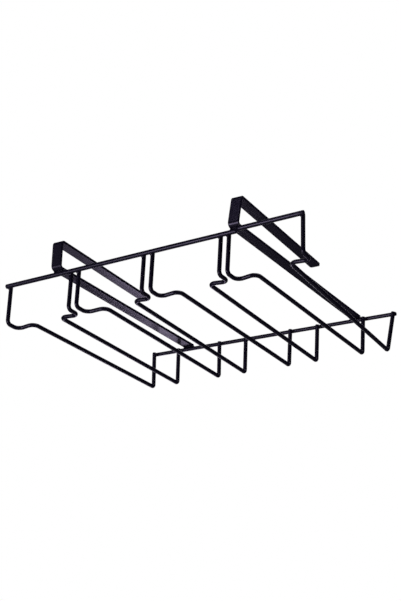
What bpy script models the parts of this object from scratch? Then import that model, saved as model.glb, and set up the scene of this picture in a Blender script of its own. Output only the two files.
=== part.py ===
# Hanging rack for stemmed glasses: two cross bars, eight bent wire rails in four channels,
# and two flat strip brackets that slide over the front edge of a shelf board.
# Metres, +Z up, +X along the cross bars, +Y from the mouths towards the rear of the shelf.
# The origin lies on the rack's middle plane, on the plane of the brackets' webs' inner faces,
# at the mean height of the upper arms' undersides, where the shelf board's top would be.
import math

import bmesh
import bpy
from mathutils import Vector

# Glass channels
CHANNEL_COUNT = 4
CHANNEL_PITCH = 0.1050
MOUTH_WIDTH = 0.0932
SLOT_WIDTH_FRONT = 0.0412
SLOT_WIDTH_REAR = 0.0393
CHANNEL_DEPTH = 0.2774
JOGGLE_SETBACK = 0.0208

# Wires
RAIL_DIAMETER = 0.0052
FRONT_BAR_DIAMETER = 0.0058
REAR_BAR_DIAMETER = 0.0050
CONTACT_GAP = 0.0003
WIRE_SIDES_EXTRA = 6

# Heights of the cross bars above the rails' straight runs, and of the rear bar above the front bar
FRONT_DROP = 0.0446
REAR_DROP = 0.0484
REAR_BAR_RISE = 0.0029
FOOT_SAG = 0.0020
FRONT_TIP = 0.0015
REAR_TIP = 0.0006

# Bend radii on the wires' centre lines
DROP_BEND_RADIUS = 0.0053
JOGGLE_BEND_RADIUS = 0.0087
REAR_BEND_RADIUS = 0.0036
STEP_BEND_RADIUS = 0.0040
BEND_STEPS = 6

# Ends of the cross bars past the outer rails
FRONT_BAR_OVERHANG_LEFT = 0.0019
FRONT_BAR_OVERHANG_RIGHT = 0.0045
REAR_BAR_OVERHANG = 0.0038

# The frame as it was welded: the bars are twisted a little against each other,
# the front bar steps forward near the right bracket's outer edge, and the last rail is
# a little askew.
TWIST_RISE = 0.0030
STEP_FORWARD = 0.0046
STEP_RUN = 0.0056
STEP_LEAD = 0.0059
END_RAIL_MOUTH_SHIFT = 0.0064
END_RAIL_FOOT_SHIFT = 0.0079
END_RAIL_FOOT_LIFT = 0.0002
END_RAIL_SETBACK = 0.0137
END_RAIL_SLOT_SHIFT = 0.0066
END_RAIL_REAR_SHIFT = -0.0043
END_RAIL_REAR_LIFT = -0.0013
END_RAIL_REAR_TOP_SHIFT = 0.0028

# How far other rails stand off their places at the mouth, at the slot's front and rear ends
# and at the rear bar, and how much higher their feet lie, in shares of the rail's diameter
ASKEW_SHARES = {
    "rail_1_left": (0.10, -0.25, 0.45, 0.05, -0.12),
    "rail_1_right": (-0.15, -0.45, 0.20, -0.05, 0.00),
    "rail_2_left": (-0.25, 0.25, -0.05, -0.35, 0.21),
    "rail_2_right": (-0.10, 0.05, 0.00, -0.15, 0.05),
    "rail_3_left": (0.00, 0.00, 0.00, 0.00, -0.05),
    "rail_3_right": (0.15, -0.03, 0.10, 0.05, -0.05),
    "rail_4_left": (0.00, 0.00, 0.00, 0.00, -0.18),
}

# Brackets
STRIP_WIDTH = 0.0136
STRIP_THICKNESS = 0.0034
BRACKET_OFFSET = 0.1246
BRACKET_SHIFT = -0.0006
WEB_SETOUT = 0.0145
LOWER_BEND_RADIUS = 0.0060
UPPER_BEND_RADIUS = 0.0058
LOWER_ARM_OVERRUN = 0.0012
TIP_CORNER_RADIUS = 0.0016
LEFT_JAW_HEIGHT = 0.0308
RIGHT_JAW_HEIGHT = 0.0338
LEFT_ARM_LENGTH = 0.1885
RIGHT_ARM_LENGTH = 0.2070
LEFT_WEB_LEAN = -0.0010
RIGHT_WEB_LEAN = 0.0053
LEFT_ARM_YAW = math.radians(-0.4)
RIGHT_ARM_YAW = math.radians(-3.1)

# Black powder coat
COAT_COLOUR = (0.012, 0.012, 0.015, 1.0)
COAT_ROUGHNESS = 0.42
COAT_METALLIC = 0.0

railRadius = RAIL_DIAMETER / 2
frontRadius = FRONT_BAR_DIAMETER / 2
rearRadius = REAR_BAR_DIAMETER / 2
middleChannel = (CHANNEL_COUNT - 1) / 2
outerRailX = middleChannel * CHANNEL_PITCH + SLOT_WIDTH_REAR / 2


def frontBarHeight(x):
    """Height of the front bar's axis above the bar's middle."""
    return TWIST_RISE * x / outerRailX


def rearBarHeight(x):
    """Height of the rear bar's axis above the front bar's middle."""
    return REAR_BAR_RISE - TWIST_RISE * x / outerRailX


frontBarY = -(railRadius + frontRadius + CONTACT_GAP)
rearBarY = CHANNEL_DEPTH + railRadius + rearRadius + CONTACT_GAP
webInnerY = -WEB_SETOUT + STRIP_THICKNESS
leftBracketX = BRACKET_SHIFT - BRACKET_OFFSET
rightBracketX = BRACKET_SHIFT + BRACKET_OFFSET

# Heights at which the brackets' lower arms lie on the two bars, to the strip's underside
leftFrontSeat = frontBarHeight(leftBracketX) + frontRadius + CONTACT_GAP
leftRearSeat = rearBarHeight(leftBracketX) + rearRadius + CONTACT_GAP
rightFrontSeat = frontBarHeight(rightBracketX) + frontRadius + CONTACT_GAP
rightRearSeat = rearBarHeight(rightBracketX) + rearRadius + CONTACT_GAP
leftShelfTop = leftFrontSeat + STRIP_THICKNESS + LEFT_JAW_HEIGHT
rightShelfTop = rightFrontSeat + STRIP_THICKNESS + RIGHT_JAW_HEIGHT

# Everything above is measured from the front bar's middle; this moves it to the origin
datum = Vector((0, webInnerY, (leftShelfTop + rightShelfTop) / 2))


def clearScene():
    for item in list(bpy.data.objects):
        bpy.data.objects.remove(item, do_unlink=True)


def coat(name):
    """A black powder coat of its own for each piece."""
    material = bpy.data.materials.new(name + "_coat")
    material.use_nodes = True
    shader = material.node_tree.nodes["Principled BSDF"]
    shader.inputs["Base Color"].default_value = COAT_COLOUR
    shader.inputs["Roughness"].default_value = COAT_ROUGHNESS
    shader.inputs["Metallic"].default_value = COAT_METALLIC
    return material


def roundCorners(corners, radii):
    """A path through corner points, with an arc of its own radius at each inner corner."""
    path = [corners[0]]
    for before, corner, after, radius in zip(corners, corners[1:], corners[2:], radii):
        back = (before - corner).normalized()
        ahead = (after - corner).normalized()
        halfAngle = back.angle(ahead) / 2
        reach = radius / math.tan(halfAngle)
        centre = corner + (back + ahead).normalized() * radius / math.sin(halfAngle)
        fromCentre = corner + back * reach - centre
        toCentre = corner + ahead * reach - centre
        turn = fromCentre.angle(toCentre)
        for step in range(BEND_STEPS + 1):
            share = step / BEND_STEPS
            arm = fromCentre * math.sin((1 - share) * turn) + toCentre * math.sin(share * turn)
            path.append(centre + arm / math.sin(turn))
    path.append(corners[-1])
    return path


def addWire(name, corners, radii, diameter):
    """A round wire bent through corner points, with flat cut ends."""
    curve = bpy.data.curves.new(name, "CURVE")
    curve.dimensions = "3D"
    curve.fill_mode = "FULL"
    curve.use_fill_caps = True
    curve.bevel_depth = diameter / 2
    curve.bevel_resolution = WIRE_SIDES_EXTRA
    path = roundCorners([Vector(corner) for corner in corners], radii)
    spline = curve.splines.new("POLY")
    spline.points.add(len(path) - 1)
    for point, place in zip(spline.points, path):
        point.co = (*(place - datum), 1)
    wire = bpy.data.objects.new(name, curve)
    bpy.context.collection.objects.link(wire)
    curve.materials.append(coat(name))
    return wire


def addRail(name, channel, side):
    """One rail: drop behind the front bar, foot, joggle inwards, run, and rear upright."""
    centreX = (channel - middleChannel) * CHANNEL_PITCH
    askew = [share * RAIL_DIAMETER for share in ASKEW_SHARES.get(name, (0, 0, 0, 0, 0))]
    mouthX = centreX + side * MOUTH_WIDTH / 2 + askew[0]
    slotX = centreX + side * SLOT_WIDTH_FRONT / 2 + askew[1]
    rearX = centreX + side * SLOT_WIDTH_REAR / 2 + askew[2]
    rearTopX = centreX + side * SLOT_WIDTH_REAR / 2 + askew[3]
    topX, footX = mouthX, mouthX
    frontY, setback = 0.0, JOGGLE_SETBACK
    frontRun = frontBarHeight(mouthX) - FRONT_DROP
    rearRun = rearBarHeight(rearX) - REAR_DROP
    joggleRun = frontRun + (rearRun - frontRun) * setback / CHANNEL_DEPTH
    frontRun = frontRun - FOOT_SAG + askew[4]
    footRun = joggleRun - FOOT_SAG + askew[4]
    if channel == CHANNEL_COUNT - 1 and side > 0:
        topX = mouthX + END_RAIL_MOUTH_SHIFT
        footX = mouthX + END_RAIL_FOOT_SHIFT
        slotX = slotX + END_RAIL_SLOT_SHIFT
        rearTopX = rearTopX + END_RAIL_REAR_TOP_SHIFT
        rearX = rearX + END_RAIL_REAR_SHIFT
        frontY, setback = -STEP_FORWARD, END_RAIL_SETBACK
        frontRun = frontRun + END_RAIL_FOOT_LIFT
        footRun = footRun + END_RAIL_FOOT_LIFT
        rearRun = rearRun + END_RAIL_REAR_LIFT
    corners = [
        (topX, frontY, frontBarHeight(topX) + FRONT_TIP),
        (footX, frontY, frontRun),
        (footX, setback, footRun),
        (slotX, setback, joggleRun),
        (rearX, CHANNEL_DEPTH, rearRun),
        (rearTopX, CHANNEL_DEPTH, rearBarHeight(rearTopX) + REAR_TIP),
    ]
    radii = [DROP_BEND_RADIUS, JOGGLE_BEND_RADIUS, JOGGLE_BEND_RADIUS, REAR_BEND_RADIUS]
    addWire(name, corners, radii, RAIL_DIAMETER)


def addFrontBar():
    """The thicker bar in front of the drops, with its small step under the right bracket."""
    leftX = -middleChannel * CHANNEL_PITCH - MOUTH_WIDTH / 2 - FRONT_BAR_OVERHANG_LEFT
    rightX = middleChannel * CHANNEL_PITCH + MOUTH_WIDTH / 2 + END_RAIL_MOUTH_SHIFT + FRONT_BAR_OVERHANG_RIGHT
    stepStart = rightBracketX + STRIP_WIDTH / 2 - STEP_LEAD
    stepEnd = stepStart + STEP_RUN
    steppedY = frontBarY - STEP_FORWARD
    corners = [
        (leftX, frontBarY, frontBarHeight(leftX)),
        (stepStart, frontBarY, frontBarHeight(stepStart)),
        (stepEnd, steppedY, frontBarHeight(stepEnd)),
        (rightX, steppedY, frontBarHeight(rightX)),
    ]
    addWire("front_bar", corners, [STEP_BEND_RADIUS, STEP_BEND_RADIUS], FRONT_BAR_DIAMETER)


def addRearBar():
    """The bar behind the rear uprights."""
    leftX = -outerRailX - REAR_BAR_OVERHANG
    rightX = outerRailX + REAR_BAR_OVERHANG
    corners = [(leftX, rearBarY, rearBarHeight(leftX)), (rightX, rearBarY, rearBarHeight(rightX))]
    addWire("rear_bar", corners, [], REAR_BAR_DIAMETER)


def addBracket(name, x, frontSeat, rearSeat, jawHeight, armLength, webLean, armYaw):
    """A flat strip bent into a jaw: lower arm on both bars, web, and free upper arm."""
    halfStrip = STRIP_THICKNESS / 2
    slope = (rearSeat - frontSeat) / (rearBarY - frontBarY)
    webY = -WEB_SETOUT + halfStrip
    lowerRearY = rearBarY + LOWER_ARM_OVERRUN
    lowerRear = Vector((x, lowerRearY, frontSeat + slope * (lowerRearY - frontBarY) + halfStrip))
    lowerFront = Vector((x, webY, frontSeat + slope * (webY - frontBarY) + halfStrip))
    upperFront = Vector((x, webY + webLean, frontSeat + STRIP_THICKNESS + jawHeight + halfStrip))
    upperReach = armLength - halfStrip
    upperRear = upperFront + upperReach * Vector((math.tan(armYaw), 1, 0))
    corners = [lowerRear, lowerFront, upperFront, upperRear]
    path = roundCorners(corners, [LOWER_BEND_RADIUS - halfStrip, UPPER_BEND_RADIUS - halfStrip])
    ahead = (corners[-1] - corners[-2]).normalized()
    bend = path.pop()
    widths = [STRIP_WIDTH / 2] * len(path)
    for step in range(BEND_STEPS + 1):
        angle = math.pi / 2 * step / BEND_STEPS
        path.append(bend - ahead * TIP_CORNER_RADIUS * (1 - math.sin(angle)))
        widths.append(STRIP_WIDTH / 2 - TIP_CORNER_RADIUS * (1 - math.cos(angle)))
    mesh = bpy.data.meshes.new(name)
    strip = bmesh.new()
    rings = []
    for index, place in enumerate(path):
        before = path[max(index - 1, 0)]
        after = path[min(index + 1, len(path) - 1)]
        tangent = after - before
        outward = Vector((0, tangent.z, -tangent.y)).normalized() * halfStrip
        across = Vector((widths[index], 0, 0))
        ring = []
        for shift in (outward - across, outward + across, across - outward, -outward - across):
            ring.append(strip.verts.new(place - datum + shift))
        rings.append(ring)
    for ring, following in zip(rings, rings[1:]):
        for corner in range(4):
            neighbour = (corner + 1) % 4
            strip.faces.new((ring[corner], ring[neighbour], following[neighbour], following[corner]))
    strip.faces.new(rings[0])
    strip.faces.new(rings[-1])
    bmesh.ops.recalc_face_normals(strip, faces=strip.faces)
    strip.to_mesh(mesh)
    strip.free()
    mesh.materials.append(coat(name))
    mesh.shade_smooth()
    mesh.set_sharp_from_angle(angle=math.radians(35))
    bracket = bpy.data.objects.new(name, mesh)
    bpy.context.collection.objects.link(bracket)


clearScene()
addFrontBar()
addRearBar()
for channel in range(CHANNEL_COUNT):
    for side, word in ((-1, "left"), (1, "right")):
        addRail(f"rail_{channel + 1}_{word}", channel, side)
addBracket("bracket_left", leftBracketX, leftFrontSeat, leftRearSeat,
           LEFT_JAW_HEIGHT, LEFT_ARM_LENGTH, LEFT_WEB_LEAN, LEFT_ARM_YAW)
addBracket("bracket_right", rightBracketX, rightFrontSeat, rightRearSeat,
           RIGHT_JAW_HEIGHT, RIGHT_ARM_LENGTH, RIGHT_WEB_LEAN, RIGHT_ARM_YAW)
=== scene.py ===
# The looks of the hanging glass rack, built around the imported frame:
# bent wires, flat strip brackets and their welds, all under one satin black powder coat.
import math

import bmesh
import bpy
from mathutils import Matrix, Vector, noise


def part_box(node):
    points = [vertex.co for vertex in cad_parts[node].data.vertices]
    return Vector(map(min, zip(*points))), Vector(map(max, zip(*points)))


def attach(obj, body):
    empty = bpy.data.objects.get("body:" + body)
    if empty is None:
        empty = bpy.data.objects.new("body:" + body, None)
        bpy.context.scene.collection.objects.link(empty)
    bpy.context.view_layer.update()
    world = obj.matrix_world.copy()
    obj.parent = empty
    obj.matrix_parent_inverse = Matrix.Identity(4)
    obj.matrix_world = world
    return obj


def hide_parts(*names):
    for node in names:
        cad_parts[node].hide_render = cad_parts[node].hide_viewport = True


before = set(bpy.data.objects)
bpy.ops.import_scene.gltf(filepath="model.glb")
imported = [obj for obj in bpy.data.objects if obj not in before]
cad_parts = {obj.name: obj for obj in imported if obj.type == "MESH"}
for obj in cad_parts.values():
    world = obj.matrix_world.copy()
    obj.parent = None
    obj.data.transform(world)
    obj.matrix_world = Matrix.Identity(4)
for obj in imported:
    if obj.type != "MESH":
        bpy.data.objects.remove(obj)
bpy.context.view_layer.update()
print("frame loaded:", len(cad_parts), "nodes")

# Layout in metres: y runs back from the drops' middles, z up from the front bar's middle

rack = {
    "channels": 4,
    "pitch": 0.1050,
    "mouthWidth": 0.0932,  # between the middles of a channel's two drops
    "slotFront": 0.0412,  # between the middles of its two runs, at their front and rear ends
    "slotRear": 0.0393,
    "depth": 0.2774,
    "dropLine": 0.0111,  # the drops' middles, behind the webs' inner faces
    "barHeight": -0.03889,  # the front bar's middle, under the shelf board's top
    "rearBarRise": 0.0029,  # the rear bar above the front bar
    "twist": 0.0030,  # the front bar's rise to the right and the rear bar's fall, at the outer rails
    "step": 0.0046,  # the front bar's step forward near the right bracket's outer edge
    "stepRun": 0.0056,
    "stepLead": 0.0059,  # from the step's start to that edge
    "contactGap": 0.0003,
}

wire = {
    "rail": 0.0052,  # diameters
    "frontBar": 0.0058,
    "rearBar": 0.0050,
    "sides": 32,
    "bendSteps": 12,  # in a right angle
    "legStep": 0.0090,  # about this far between rings on straight legs
    "cutRound": 0.0005,  # the coat rounds the cut ends
    "cutSteps": 3,
    "swayGrain": 11.0,  # the whole frame is a little uneven, as wire bent in a jig is
    "swayAmount": 0.00014,
    "swaySeed": 3,
}

middleChannel = (rack["channels"] - 1) / 2
outerRail = middleChannel * rack["pitch"] + rack["slotRear"] / 2
outerMouth = middleChannel * rack["pitch"] + rack["mouthWidth"] / 2
frontBarY = -(wire["rail"] + wire["frontBar"]) / 2 - rack["contactGap"]
rearBarY = rack["depth"] + (wire["rail"] + wire["rearBar"]) / 2 + rack["contactGap"]
rackPlace = Vector((0, rack["dropLine"], rack["barHeight"]))
noise.seed_set(wire["swaySeed"])  # otherwise it starts from the clock, and each run differs a little


def frontBarHeight(x):
    return rack["twist"] * x / outerRail


def rearBarHeight(x):
    return rack["rearBarRise"] - rack["twist"] * x / outerRail


# Sweeping a section: its ring of edges is extruded along straight legs and spun round bends

def newRing(mesh, grown, along):
    alongLayer = mesh.verts.layers.float["along"]
    verts = {item for item in grown if isinstance(item, bmesh.types.BMVert)}
    for vert in verts:
        vert[alongLayer] = along
    edges = [item for item in grown if isinstance(item, bmesh.types.BMEdge)]
    return [edge for edge in edges if verts.issuperset(edge.verts)]


def pullRing(mesh, ring, reach, along):
    steps = max(1, round(reach.length / wire["legStep"]))
    for step in range(steps):
        grown = bmesh.ops.extrude_edge_only(mesh, edges=ring)["geom"]
        moved = [item for item in grown if isinstance(item, bmesh.types.BMVert)]
        bmesh.ops.translate(mesh, verts=moved, vec=reach / steps)
        along += reach.length / steps
        ring = newRing(mesh, grown, along)
    return ring, along


def swingRing(mesh, ring, centre, axis, turn, arc, along):
    steps = max(2, math.ceil(wire["bendSteps"] * turn / (math.pi / 2)))
    for step in range(steps):
        section = [*ring, *dict.fromkeys(vert for edge in ring for vert in edge.verts)]
        grown = bmesh.ops.spin(mesh, geom=section, cent=centre, axis=axis, angle=turn / steps, steps=1)
        along += arc / steps
        ring = newRing(mesh, grown["geom_last"], along)
    return ring, along


def sweepPath(mesh, corners, radii):
    ring, place, along = list(mesh.edges), corners[0], 0.0
    for before, corner, after, radius in zip(corners, corners[1:], corners[2:], radii):
        back = (before - corner).normalized()
        ahead = (after - corner).normalized()
        turn = math.pi - back.angle(ahead)
        reach = radius * math.tan(turn / 2)
        centre = corner + (back + ahead).normalized() * radius / math.cos(turn / 2)
        ring, along = pullRing(mesh, ring, corner + back * reach - place, along)
        ring, along = swingRing(mesh, ring, centre, ahead.cross(back), turn, radius * turn, along)
        place = corner + ahead * reach
    ring, along = pullRing(mesh, ring, corners[-1] - place, along)
    caps = bmesh.ops.holes_fill(mesh, edges=mesh.edges, sides=0)["faces"]
    bmesh.ops.recalc_face_normals(mesh, faces=mesh.faces)
    return caps, ring


def startPiece():
    mesh = bmesh.new()
    mesh.verts.layers.float.new("along")  # metres from the piece's first end
    return mesh


def finishPiece(name, mesh, material, node=None):
    for vert in mesh.verts:
        vert.co += rackPlace
        vert.co += noise.noise_vector(vert.co * wire["swayGrain"]) * wire["swayAmount"]
    data = bpy.data.meshes.new(name)
    mesh.to_mesh(data)
    mesh.free()
    data.materials.append(material)
    data.shade_smooth()
    piece = bpy.data.objects.new(name, data)
    bpy.context.scene.collection.objects.link(piece)
    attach(piece, "root")
    if node:
        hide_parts(node)
        reportDrift(name, data, node)
    return piece


def reportDrift(name, data, node):
    places = [vert.co for vert in data.vertices]
    made = [[pick(place[axis] for place in places) for axis in range(3)] for pick in (min, max)]
    drifts = [abs(a - b) for ours, packed in zip(made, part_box(node)) for a, b in zip(ours, packed)]
    print(f"{name} stands for {node}, box within {max(drifts) * 1000:.2f} mm")


def makeWire(name, corners, radii, diameter, material, node):
    mesh = startPiece()
    corners = [Vector(corner) for corner in corners]
    facing = (corners[1] - corners[0]).to_track_quat("Z", "Y").to_matrix().to_4x4()
    bmesh.ops.create_circle(
        mesh, segments=wire["sides"], radius=diameter / 2, matrix=Matrix.Translation(corners[0]) @ facing,
    )
    caps, lastRing = sweepPath(mesh, corners, radii)
    rims = dict.fromkeys(edge for face in caps for edge in face.edges)
    bmesh.ops.bevel(
        mesh, geom=list(rims), offset=wire["cutRound"], segments=wire["cutSteps"], profile=0.5,
        affect="EDGES", material=-1,
    )
    finishPiece(name, mesh, material, node)


# Powder coat: fine orange peel, a few dust nibs, a little mottling in tone and gloss

coat = {
    "dark": (0.0042, 0.0035, 0.0092, 1.0),
    "light": (0.0080, 0.0068, 0.0165, 1.0),
    "specularTint": (0.80, 0.72, 1.0, 1.0),
    "glossy": 0.23,  # roughness where the coat flowed out best
    "matt": 0.31,
    "toneScale": 55.0,
    "toneDetail": 3.0,
    "glossScale": 93.5,
    "glossDetail": 2.0,
    "mottleSpan": (0.35, 0.65),  # the stretch of the noise over which tone and gloss change
    "peelScale": 850.0,
    "peelDetail": 1.0,
    "peelDepth": 0.000005,
    "nibScale": 240.0,
    "nibShare": 0.08,  # of the cells, how many hold a nib
    "nibReach": 0.11,  # a nib's radius, in cell widths
    "nibDepth": 0.00002,
    "rollLines": (600.0, 5.0, 1.0),  # rolling marks along a strip, under the coat
    "rollDetail": 2.0,
    "rollDepth": 0.00004,
}


def spreadNode(material, source, fromRange, toRange):
    nodes, links = material.node_tree.nodes, material.node_tree.links
    spread = nodes.new("ShaderNodeMapRange")
    spread.inputs["From Min"].default_value, spread.inputs["From Max"].default_value = fromRange
    spread.inputs["To Min"].default_value, spread.inputs["To Max"].default_value = toRange
    links.new(source, spread.inputs["Value"])
    return spread.outputs["Result"]


def grainNode(material, vector, scale, detail):
    nodes, links = material.node_tree.nodes, material.node_tree.links
    grain = nodes.new("ShaderNodeTexNoise")
    grain.inputs["Scale"].default_value = scale
    grain.inputs["Detail"].default_value = detail
    links.new(vector, grain.inputs["Vector"])
    return grain.outputs["Fac"]


def reliefNode(material, height, depth, under=None):
    nodes, links = material.node_tree.nodes, material.node_tree.links
    relief = nodes.new("ShaderNodeBump")
    relief.inputs["Distance"].default_value = depth
    links.new(height, relief.inputs["Height"])
    if under:
        links.new(under, relief.inputs["Normal"])
    return relief.outputs["Normal"]


def nibHeight(material, vector):
    nodes, links = material.node_tree.nodes, material.node_tree.links
    cells = nodes.new("ShaderNodeTexVoronoi")
    cells.inputs["Scale"].default_value = coat["nibScale"]
    links.new(vector, cells.inputs["Vector"])
    channels = nodes.new("ShaderNodeSeparateColor")
    links.new(cells.outputs["Color"], channels.inputs["Color"])
    chosen = nodes.new("ShaderNodeMath")
    chosen.operation = "LESS_THAN"
    chosen.inputs[1].default_value = coat["nibShare"]
    links.new(channels.outputs["Red"], chosen.inputs[0])
    bump = spreadNode(material, cells.outputs["Distance"], (0.0, coat["nibReach"]), (1.0, 0.0))
    height = nodes.new("ShaderNodeMath")
    height.operation = "MULTIPLY"
    links.new(chosen.outputs["Value"], height.inputs[0])
    links.new(bump, height.inputs[1])
    return height.outputs["Value"]


def rollHeight(material, vector):
    nodes, links = material.node_tree.nodes, material.node_tree.links
    split = nodes.new("ShaderNodeSeparateXYZ")
    links.new(vector, split.inputs["Vector"])
    along = nodes.new("ShaderNodeAttribute")
    along.attribute_name = "along"
    flat = nodes.new("ShaderNodeCombineXYZ")
    links.new(split.outputs["X"], flat.inputs["X"])
    links.new(along.outputs["Fac"], flat.inputs["Y"])
    stretch = nodes.new("ShaderNodeMapping")
    stretch.inputs["Scale"].default_value = coat["rollLines"]
    links.new(flat.outputs["Vector"], stretch.inputs["Vector"])
    return grainNode(material, stretch.outputs["Vector"], 1.0, coat["rollDetail"])


def makeCoat(name, rolled=False):
    material = bpy.data.materials.new(name)
    material.use_nodes = True
    nodes, links = material.node_tree.nodes, material.node_tree.links
    shader = nodes["Principled BSDF"]
    shader.inputs["Specular Tint"].default_value = coat["specularTint"]
    place = nodes.new("ShaderNodeTexCoord").outputs["Object"]
    tone = nodes.new("ShaderNodeMix")
    tone.data_type = "RGBA"
    tone.inputs["A"].default_value = coat["dark"]
    tone.inputs["B"].default_value = coat["light"]
    mottle = grainNode(material, place, coat["toneScale"], coat["toneDetail"])
    links.new(spreadNode(material, mottle, coat["mottleSpan"], (0.0, 1.0)), tone.inputs["Factor"])
    links.new(tone.outputs["Result"], shader.inputs["Base Color"])
    gloss = grainNode(material, place, coat["glossScale"], coat["glossDetail"])
    roughness = spreadNode(material, gloss, coat["mottleSpan"], (coat["glossy"], coat["matt"]))
    links.new(roughness, shader.inputs["Roughness"])
    peel = grainNode(material, place, coat["peelScale"], coat["peelDetail"])
    relief = reliefNode(material, peel, coat["peelDepth"])
    relief = reliefNode(material, nibHeight(material, place), coat["nibDepth"], relief)
    if rolled:
        relief = reliefNode(material, rollHeight(material, place), coat["rollDepth"], relief)
    links.new(relief, shader.inputs["Normal"])
    return material


wireCoat = makeCoat("wireCoat")
stripCoat = makeCoat("stripCoat", rolled=True)
weldCoat = makeCoat("weldCoat")

weldSpots = {"front": [], "rear": [], "tack": [], "seat": []}  # filled in as the pieces are made


# Rails

rail = {
    "frontDrop": 0.0446,  # from the bars' middles down to the run
    "rearDrop": 0.0484,
    "footSag": 0.0020,  # the foot lies lower than the run
    "frontTip": 0.0015,  # the cut ends stand above the bars' middles
    "rearTip": 0.0006,
    "setback": 0.0208,  # from the drop back to the joggle
    "dropBend": 0.0053,  # bend radii on the wire's middle line
    "joggleBend": 0.0087,
    "rearBend": 0.0036,
}

lastRail = {  # the last rail on the right sits askew by these, on a shorter foot
    "mouthShift": 0.0064,
    "footShift": 0.0079,
    "footLift": 0.0002,
    "setback": 0.0137,  # in place of the others'
    "slotShift": 0.0066,
    "rearShift": -0.0043,
    "rearLift": -0.0013,
    "rearTopShift": 0.0028,
}

# The rails' shifts at the mouth, the slot's two ends and the rear bar, and their feet's lift,
# in shares of the rail's diameter
askewShares = {
    "rail_1_left": (0.10, -0.25, 0.45, 0.05, -0.12),
    "rail_1_right": (-0.15, -0.45, 0.20, -0.05, 0.00),
    "rail_2_left": (-0.25, 0.25, -0.05, -0.35, 0.21),
    "rail_2_right": (-0.10, 0.05, 0.00, -0.15, 0.05),
    "rail_3_left": (0.00, 0.00, 0.00, 0.00, -0.05),
    "rail_3_right": (0.15, -0.03, 0.10, 0.05, -0.05),
    "rail_4_left": (0.00, 0.00, 0.00, 0.00, -0.18),
    "rail_4_right": (0.00, 0.00, 0.00, 0.00, 0.00),  # lastRail has its shifts
}


def makeRail(channel, side, word):
    node = f"rail_{channel + 1}_{word}"
    centre = (channel - middleChannel) * rack["pitch"]
    askew = [share * wire["rail"] for share in askewShares[node]]
    mouth = centre + side * rack["mouthWidth"] / 2 + askew[0]
    slot = centre + side * rack["slotFront"] / 2 + askew[1]
    rear = centre + side * rack["slotRear"] / 2 + askew[2]
    rearTop = centre + side * rack["slotRear"] / 2 + askew[3]
    top, foot = mouth, mouth
    front, setback = 0.0, rail["setback"]
    frontRun = frontBarHeight(mouth) - rail["frontDrop"]
    rearRun = rearBarHeight(rear) - rail["rearDrop"]
    joggleRun = frontRun + (rearRun - frontRun) * setback / rack["depth"]
    frontRun = frontRun - rail["footSag"] + askew[4]
    footRun = joggleRun - rail["footSag"] + askew[4]
    if channel == rack["channels"] - 1 and side > 0:
        top, foot = mouth + lastRail["mouthShift"], mouth + lastRail["footShift"]
        slot = slot + lastRail["slotShift"]
        rearTop = rearTop + lastRail["rearTopShift"]
        rear = rear + lastRail["rearShift"]
        front, setback = -rack["step"], lastRail["setback"]
        frontRun = frontRun + lastRail["footLift"]
        footRun = footRun + lastRail["footLift"]
        rearRun = rearRun + lastRail["rearLift"]
    corners = [
        (top, front, frontBarHeight(top) + rail["frontTip"]),
        (foot, front, frontRun),
        (foot, setback, footRun),
        (slot, setback, joggleRun),
        (rear, rack["depth"], rearRun),
        (rearTop, rack["depth"], rearBarHeight(rearTop) + rail["rearTip"]),
    ]
    radii = [rail["dropBend"], rail["joggleBend"], rail["joggleBend"], rail["rearBend"]]
    makeWire(f"rail{channel + 1}{word.title()}", corners, radii, wire["rail"], wireCoat, node)
    contact = (wire["rail"] + rack["contactGap"]) / 2
    weldSpots["front"].append(Vector((top, front - contact, frontBarHeight(top))))
    weldSpots["rear"].append(Vector((rearTop, rack["depth"] + contact, rearBarHeight(rearTop))))


for channel in range(rack["channels"]):
    for side, word in ((-1, "left"), (1, "right")):
        makeRail(channel, side, word)
print("rails bent")


# Cross bars, the front one stepping forward beside the right bracket

bars = {
    "frontOverhangLeft": 0.0019,
    "frontOverhangRight": 0.0045,
    "rearOverhang": 0.0038,
    "stepBend": 0.0040,
}

strip = {
    "width": 0.0136,
    "thickness": 0.0034,
    "offset": 0.1246,  # half the distance between the brackets' middle lines
    "shift": -0.0006,  # both sit a little to the left
    "setOut": 0.0145,  # from the drops forward to the webs' outer faces
    "lowerBend": 0.0060,  # outer radii of the two bends
    "upperBend": 0.0058,
    "overrun": 0.0012,  # of the lower arms past the rear bar's middle
    "tipCorner": 0.0026,
    "tipSteps": 6,
    "sharpTurn": math.radians(50),  # edges that turn more than this are rounded
    "edgeRound": 0.0003,
    "edgeSteps": 3,
}

stepStart = strip["shift"] + strip["offset"] + strip["width"] / 2 - rack["stepLead"]


def makeBars():
    left = -outerMouth - bars["frontOverhangLeft"]
    right = outerMouth + lastRail["mouthShift"] + bars["frontOverhangRight"]
    stepEnd = stepStart + rack["stepRun"]
    corners = [
        (left, frontBarY, frontBarHeight(left)),
        (stepStart, frontBarY, frontBarHeight(stepStart)),
        (stepEnd, frontBarY - rack["step"], frontBarHeight(stepEnd)),
        (right, frontBarY - rack["step"], frontBarHeight(right)),
    ]
    makeWire("frontBar", corners, [bars["stepBend"]] * 2, wire["frontBar"], wireCoat, "front_bar")
    reach = outerRail + bars["rearOverhang"]
    corners = [(x, rearBarY, rearBarHeight(x)) for x in (-reach, reach)]
    makeWire("rearBar", corners, [], wire["rearBar"], wireCoat, "rear_bar")


makeBars()
print("cross bars set")


# Brackets: each strip is folded from its lower arm's rear end, up the web and back along the upper arm

brackets = {
    "left": {"side": -1, "jaw": 0.0308, "arm": 0.1885, "lean": -0.0010, "turn": math.radians(-0.4)},
    "right": {"side": 1, "jaw": 0.0338, "arm": 0.2070, "lean": 0.0053, "turn": math.radians(-3.1)},
}


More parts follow.
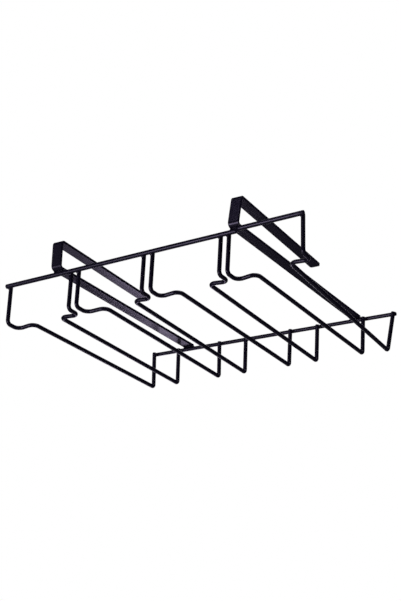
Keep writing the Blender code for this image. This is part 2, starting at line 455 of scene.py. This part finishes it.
def makeBracket(word, look):
    x = strip["shift"] + look["side"] * strip["offset"]
    half = strip["thickness"] / 2
    frontSeat = frontBarHeight(x) + wire["frontBar"] / 2 + rack["contactGap"]
    rearSeat = rearBarHeight(x) + wire["rearBar"] / 2 + rack["contactGap"]
    slope = (rearSeat - frontSeat) / (rearBarY - frontBarY)
    webY = half - strip["setOut"]
    rearEnd = rearBarY + strip["overrun"]
    corners = [
        Vector((x, rearEnd, frontSeat + slope * (rearEnd - frontBarY) + half)),
        Vector((x, webY, frontSeat + slope * (webY - frontBarY) + half)),
        Vector((x, webY + look["lean"], frontSeat + strip["thickness"] + look["jaw"] + half)),
    ]
    corners.append(corners[2] + Vector((0, look["arm"] - half, 0)))
    mesh = startPiece()
    ahead = (corners[1] - corners[0]).normalized()
    across = Vector((1, 0, 0))
    facing = Matrix((across, ahead.cross(across), ahead)).transposed().to_4x4()
    section = Matrix.Diagonal((strip["width"], strip["thickness"], 1, 1))
    bmesh.ops.create_grid(
        mesh, x_segments=1, y_segments=1, size=0.5,
        matrix=Matrix.Translation(corners[0]) @ facing @ section,
    )
    bmesh.ops.delete(mesh, geom=list(mesh.faces), context="FACES_ONLY")
    caps, lastRing = sweepPath(mesh, corners, [strip["lowerBend"] - half, strip["upperBend"] - half])
    # A shear turns the upper arm a little to the left and leaves the web straight
    turn = Matrix(((1, math.tan(look["turn"]), 0), (0, 1, 0), (0, 0, 1))).to_4x4()
    upper = [vert for vert in mesh.verts if vert.co.z > corners[2].z - strip["upperBend"]]
    bmesh.ops.transform(mesh, matrix=turn, space=Matrix.Translation(-corners[2]), verts=upper)
    uprights = [edge for edge in lastRing if abs(edge.verts[0].co.z - edge.verts[1].co.z) > half]
    bmesh.ops.bevel(
        mesh, geom=uprights, offset=strip["tipCorner"], segments=strip["tipSteps"], profile=0.5,
        affect="EDGES", material=-1,
    )
    sharp = [edge for edge in mesh.edges if edge.calc_face_angle() > strip["sharpTurn"]]
    bmesh.ops.bevel(
        mesh, geom=sharp, offset=strip["edgeRound"], segments=strip["edgeSteps"], profile=0.5,
        affect="EDGES", material=-1,
    )
    bracket = finishPiece(f"bracket{word.title()}", mesh, stripCoat, f"bracket_{word}")
    even = bracket.modifiers.new("evenNormals", "WEIGHTED_NORMAL")  # flats stay flat beside rounded edges
    even.keep_sharp = True
    for y, z in ((frontBarY, frontSeat), (rearBarY, rearSeat)):
        for edge in (x - strip["width"] / 2, x + strip["width"] / 2):
            forward = rack["step"] if y < 0 and edge > stepStart else 0
            weldSpots["tack"].append(Vector((edge, y - forward, z)))
        weldSpots["seat"].append(Vector((x, y, z)))


for word, look in brackets.items():
    makeBracket(word, look)
print("brackets folded")


# Welds: a flat nugget squeezed out where wires cross, small tacks at the strips' edges
# and a thin seam between a strip and the bar that it lies on

weld = {
    "front": (0.0024, 0.0012, 0.0025),  # half the size of each kind across, front to rear and up
    "rear": (0.0028, 0.0011, 0.0022),
    "tack": (0.0013, 0.0024, 0.0013),
    "seat": (0.0062, 0.0024, 0.0008),
    "drop": 0.0010,  # the nuggets sit below the wires' cut tips
    "segments": 24,
    "rings": 14,
    "grain": 900.0,
    "unevenness": 0.00016,
}


def makeWelds():
    for kind, spots in weldSpots.items():
        mesh = startPiece()
        sink = Vector((0, 0, -weld["drop"] if kind in ("front", "rear") else 0))
        shape = Matrix.Diagonal((*weld[kind], 1))
        for place in spots:
            bmesh.ops.create_uvsphere(
                mesh, u_segments=weld["segments"], v_segments=weld["rings"], radius=1,
                matrix=Matrix.Translation(place + sink) @ shape,
            )
        for vert in mesh.verts:
            vert.co += noise.noise_vector(vert.co * weld["grain"]) * weld["unevenness"]
        finishPiece(f"{kind}Welds", mesh, weldCoat)


makeWelds()
print("welds set")


# Studio: pale floor, white surroundings behind the rack, soft lamps

studio = {
    "floorLevel": -1.3,
    "floorRadius": 6.0,
    "floorSides": 96,
    "floorColour": (0.80, 0.80, 0.81, 1.0),
    "floorRoughness": 0.9,
    "floorGlow": (0.84, 1.0),  # how white the camera sees the floor, under the rack and at its rim
    "floorFade": (0.8, 4.5),  # metres from the middle where that changes
    "room": (0.027, 0.023, 0.046, 1.0),
    "white": (1.0, 1.0, 1.0, 1.0),
    "backdropSpread": (24.0, 14.0),  # degrees from the camera's line where the backdrop ends and is full
    "middle": (0.0, 0.139, -0.05),
    "aimed": (-0.10, 0.0, 0.03),  # what the lamps face, from the middle
}

tints = {
    "key": (0.95, 0.91, 1.0),
    "fill": (0.83, 0.77, 1.0),
    "kick": (0.85, 0.74, 1.0),
    "top": (1.0, 1.0, 1.0),
}

lamps = {  # place from the rack's middle, width and height, watts and tint
    "keySoft": {"place": (-0.50, -1.28, -0.62), "size": (0.60, 0.60), "power": 5.9, "tint": "key"},
    "sideSoft": {"place": (-1.25, -1.28, -0.47), "size": (0.30, 0.90), "power": 1.6, "tint": "key"},
    "fillSoft": {"place": (-0.35, -1.28, 0.88), "size": (0.35, 0.35), "power": 1.15, "tint": "fill"},
    "fillSide": {"place": (-1.25, -1.28, 0.62), "size": (0.30, 0.30), "power": 0.22, "tint": "fill"},
    "kickFront": {"place": (-0.59, 0.47, -0.37), "size": (0.21, 0.07), "power": 0.054, "tint": "kick"},
    "kickMiddle": {"place": (-0.44, 0.47, -0.30), "size": (0.07, 0.07), "power": 0.145, "tint": "kick"},
    "kickRear": {"place": (-0.335, 0.47, -0.16), "size": (0.14, 0.07), "power": 0.065, "tint": "kick"},
    "topSoft": {"place": (0.50, 0.15, 1.65), "size": (1.4, 1.4), "power": 10.0, "tint": "top"},
}

view = {
    "azimuth": 33.557,
    "elevation": -23.22,
    "roll": 3.065,
    "distance": 2.1444,
    "lens": 109.135,
    "clip": (0.05, 60),
    "aim": (0.0392, 0.0675, -0.0827),
}


def viewBack():
    turn, tilt = math.radians(view["azimuth"]), math.radians(view["elevation"])
    return Vector((math.sin(turn) * math.cos(tilt), -math.cos(turn) * math.cos(tilt), math.sin(tilt)))


def makeLamp(name, look):
    light = bpy.data.lights.new(name, "AREA")
    light.shape = "RECTANGLE"
    light.size, light.size_y = look["size"]
    light.energy = look["power"]
    light.color = tints[look["tint"]]
    lamp = bpy.data.objects.new(name, light)
    bpy.context.scene.collection.objects.link(lamp)
    place = Vector(look["place"])
    lamp.location = Vector(studio["middle"]) + place
    lamp.rotation_euler = (place - Vector(studio["aimed"])).to_track_quat("Z", "Y").to_euler()
    lamp.visible_camera = False


def makeFloor():
    centre = (0, 0, studio["floorLevel"])
    mesh = bmesh.new()
    bmesh.ops.create_circle(
        mesh, cap_ends=True, segments=studio["floorSides"], radius=studio["floorRadius"],
        matrix=Matrix.Translation(centre),
    )
    data = bpy.data.meshes.new("floor")
    mesh.to_mesh(data)
    mesh.free()
    material = bpy.data.materials.new("floorPaint")
    material.use_nodes = True
    nodes, links = material.node_tree.nodes, material.node_tree.links
    shader = nodes["Principled BSDF"]
    shader.inputs["Base Color"].default_value = studio["floorColour"]
    shader.inputs["Roughness"].default_value = studio["floorRoughness"]
    away = nodes.new("ShaderNodeVectorMath")
    away.operation = "DISTANCE"
    away.inputs[1].default_value = centre
    links.new(nodes.new("ShaderNodeTexCoord").outputs["Object"], away.inputs[0])
    white = spreadNode(material, away.outputs["Value"], studio["floorFade"], studio["floorGlow"])
    glow = nodes.new("ShaderNodeMath")
    glow.operation = "MULTIPLY"
    links.new(white, glow.inputs[0])
    links.new(nodes.new("ShaderNodeLightPath").outputs["Is Camera Ray"], glow.inputs[1])
    shader.inputs["Emission Color"].default_value = studio["white"]
    links.new(glow.outputs["Value"], shader.inputs["Emission Strength"])
    data.materials.append(material)
    floor = bpy.data.objects.new("floor", data)
    bpy.context.scene.collection.objects.link(floor)


def makeWorld():
    world = bpy.data.worlds.new("studioWorld")
    bpy.context.scene.world = world
    world.use_nodes = True
    nodes, links = world.node_tree.nodes, world.node_tree.links

    def join(operation, first, second):
        made = nodes.new("ShaderNodeMath")
        made.operation = operation
        links.new(first, made.inputs[0])
        links.new(second, made.inputs[1])
        return made.outputs["Value"]

    # The camera sees white all round, reflections see it only behind the rack, and else a dim room
    ray = nodes.new("ShaderNodeLightPath")
    facing = nodes.new("ShaderNodeVectorMath")
    facing.operation = "DOT_PRODUCT"
    facing.inputs[1].default_value = -viewBack()
    links.new(nodes.new("ShaderNodeTexCoord").outputs["Generated"], facing.inputs[0])
    backdrop = nodes.new("ShaderNodeMapRange")
    backdrop.interpolation_type = "SMOOTHSTEP"
    edge, full = studio["backdropSpread"]
    backdrop.inputs["From Min"].default_value = math.cos(math.radians(edge))
    backdrop.inputs["From Max"].default_value = math.cos(math.radians(full))
    links.new(facing.outputs["Value"], backdrop.inputs["Value"])
    mirrored = join("MAXIMUM", ray.outputs["Is Glossy Ray"], ray.outputs["Is Transmission Ray"])
    mirrored = join("MULTIPLY", mirrored, backdrop.outputs["Result"])
    colour = nodes.new("ShaderNodeMix")
    colour.data_type = "RGBA"
    colour.inputs["A"].default_value = studio["room"]
    colour.inputs["B"].default_value = studio["white"]
    links.new(join("MAXIMUM", ray.outputs["Is Camera Ray"], mirrored), colour.inputs["Factor"])
    links.new(colour.outputs["Result"], nodes["Background"].inputs["Color"])


def makeCamera():
    data = bpy.data.cameras.new("camera")
    data.lens = view["lens"]
    data.clip_start, data.clip_end = view["clip"]
    camera = bpy.data.objects.new("camera", data)
    bpy.context.scene.collection.objects.link(camera)
    camera.location = Vector(view["aim"]) + viewBack() * view["distance"]
    level = (-viewBack()).to_track_quat("-Z", "Y").to_matrix().to_4x4()
    camera.rotation_euler = (level @ Matrix.Rotation(math.radians(view["roll"]), 4, "Z")).to_euler()
    bpy.context.scene.camera = camera


makeFloor()
makeWorld()
for name, look in lamps.items():
    makeLamp(name, look)
makeCamera()
bpy.context.scene.view_settings.view_transform = "Standard"
print("studio and camera set")
